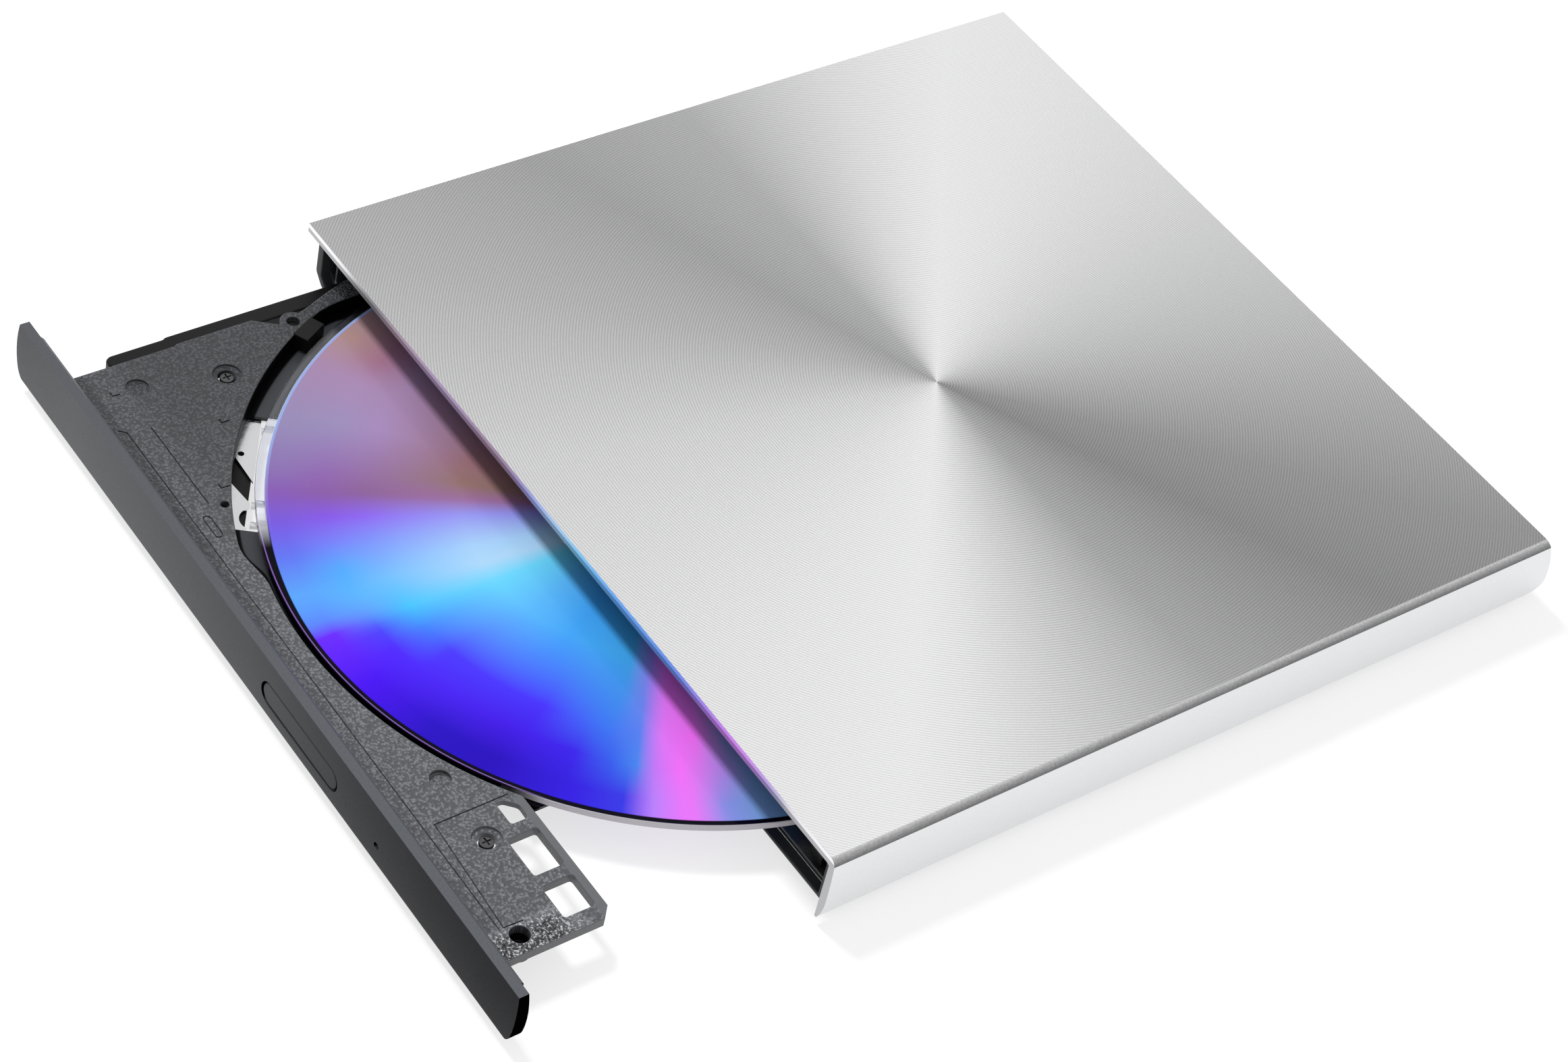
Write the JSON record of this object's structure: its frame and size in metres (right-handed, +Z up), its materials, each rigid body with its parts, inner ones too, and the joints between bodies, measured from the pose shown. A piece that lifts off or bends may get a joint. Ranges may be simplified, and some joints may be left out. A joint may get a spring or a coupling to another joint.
{
  "type": "external optical drive",
  "caption": "Slim external disc drive lying flat, its tray part-way out with a disc on the spindle; metal cover, plastic tub, sprung eject button.",
  "frame": {"origin": "on the table, under the centre of the whole drive's bounding box as it stands with the tray part-way out", "axes": "+Z up, the tray comes out towards -Y, +X is to the right when facing the tray's front"},
  "size_m": [0.141, 0.19, 0.0139],
  "materials": {
    "silver_cover": "spun and brushed, satin",
    "casing_plastic": "fine matte",
    "bezel_plastic": "smooth matte",
    "tray_plastic": "fine pebble grain",
    "black_plastic": "moulded",
    "plated_steel": "plated sheet",
    "bright_steel": "bright",
    "dark_steel": "blackened",
    "circuit_board": "solder resist",
    "foot_rubber": "matte",
    "disc_data": "mirror under clear polycarbonate, coloured bands",
    "lens": "coated lens"
  },
  "bodies": {
    "casing": {"top_cover": "silver_cover", "bottom_cover": "casing_plastic", "mouth_frame": "casing_plastic", "foot_front_left": "foot_rubber", "foot_front_right": "foot_rubber", "foot_rear_left": "foot_rubber", "foot_rear_right": "foot_rubber", "case_screw_front_left": "bright_steel", "case_screw_front_right": "bright_steel", "case_screw_rear_left": "bright_steel", "case_screw_rear_right": "bright_steel", "usb_socket_shell": "bright_steel", "usb_socket_tongue": "black_plastic", "bridge_board": "circuit_board", "bridge_chip": "black_plastic", "drive_connector": "black_plastic", "drive_pan": "plated_steel", "main_board": "circuit_board", "drive_shield": "dark_steel", "rail_guide_left": "black_plastic", "rail_guide_right": "black_plastic"},
    "rail_left": {"slide_rail_left": "black_plastic"},
    "rail_right": {"slide_rail_right": "black_plastic"},
    "tray": {"tray": "tray_plastic", "tray_screw_left": "dark_steel", "tray_screw_right": "dark_steel", "bezel": "bezel_plastic", "eject_switch": "black_plastic", "release_solenoid": "black_plastic", "traverse_cover": "bright_steel", "rod_end_bracket": "black_plastic", "spindle_motor": "plated_steel", "main_guide_rod": "bright_steel", "second_guide_rod": "bright_steel", "stepper_motor": "plated_steel"},
    "spindle": {"turntable": "black_plastic", "disc": "disc_data"},
    "pickup": {"pickup_sled": "black_plastic", "objective_lens": "lens"},
    "lead_screw": {"lead_screw": "bright_steel"},
    "button": {"eject_button": "bezel_plastic"},
    "latch": {"latch_lever": "plated_steel"}
  },
  "joints": [
    {"name": "tray_slide", "type": "slide", "parent": "casing", "child": "tray", "axis": [0, -1, 0], "range_m": [-0.049, 0.081]},
    {"name": "rail_left_slide", "type": "slide", "parent": "casing", "child": "rail_left", "axis": [0, -1, 0], "range_m": [-0.0417, 0.0689]},
    {"name": "rail_right_slide", "type": "slide", "parent": "casing", "child": "rail_right", "axis": [0, -1, 0], "range_m": [-0.01965, 0.03245]},
    {"name": "disc_spin", "type": "hinge", "parent": "tray", "child": "spindle", "pos_m": [-0.00045, -0.02515, 0.006], "axis": [0, 0, 1], "continuous": true},
    {"name": "pickup_slide", "type": "slide", "parent": "tray", "child": "pickup", "axis": [-0.5736, -0.8192, 0], "range_m": [-0.0136, 0.0194]},
    {"name": "lead_screw_spin", "type": "hinge", "parent": "tray", "child": "lead_screw", "pos_m": [-0.01471, -0.064, 0.00395], "axis": [-0.5736, -0.8192, 0], "range_deg": [-1650, 2340]},
    {"name": "eject_press", "type": "slide", "parent": "tray", "child": "button", "axis": [0, 1, 0], "range_m": [0, 0.0005], "stiffness_N_per_m": 400},
    {"name": "latch_pivot", "type": "hinge", "parent": "tray", "child": "latch", "pos_m": [0.0295, -0.08815, 0.0033], "axis": [0, 0, 1], "range_deg": [0, 12]}
  ],
  "couplings": [
    {"joint": "rail_left_slide", "follows": "tray_slide", "ratio": 0.85},
    {"joint": "rail_right_slide", "follows": "tray_slide", "ratio": 0.4},
    {"joint": "lead_screw_spin", "follows": "pickup_slide", "rad_per_m": 2094.4}
  ]
}
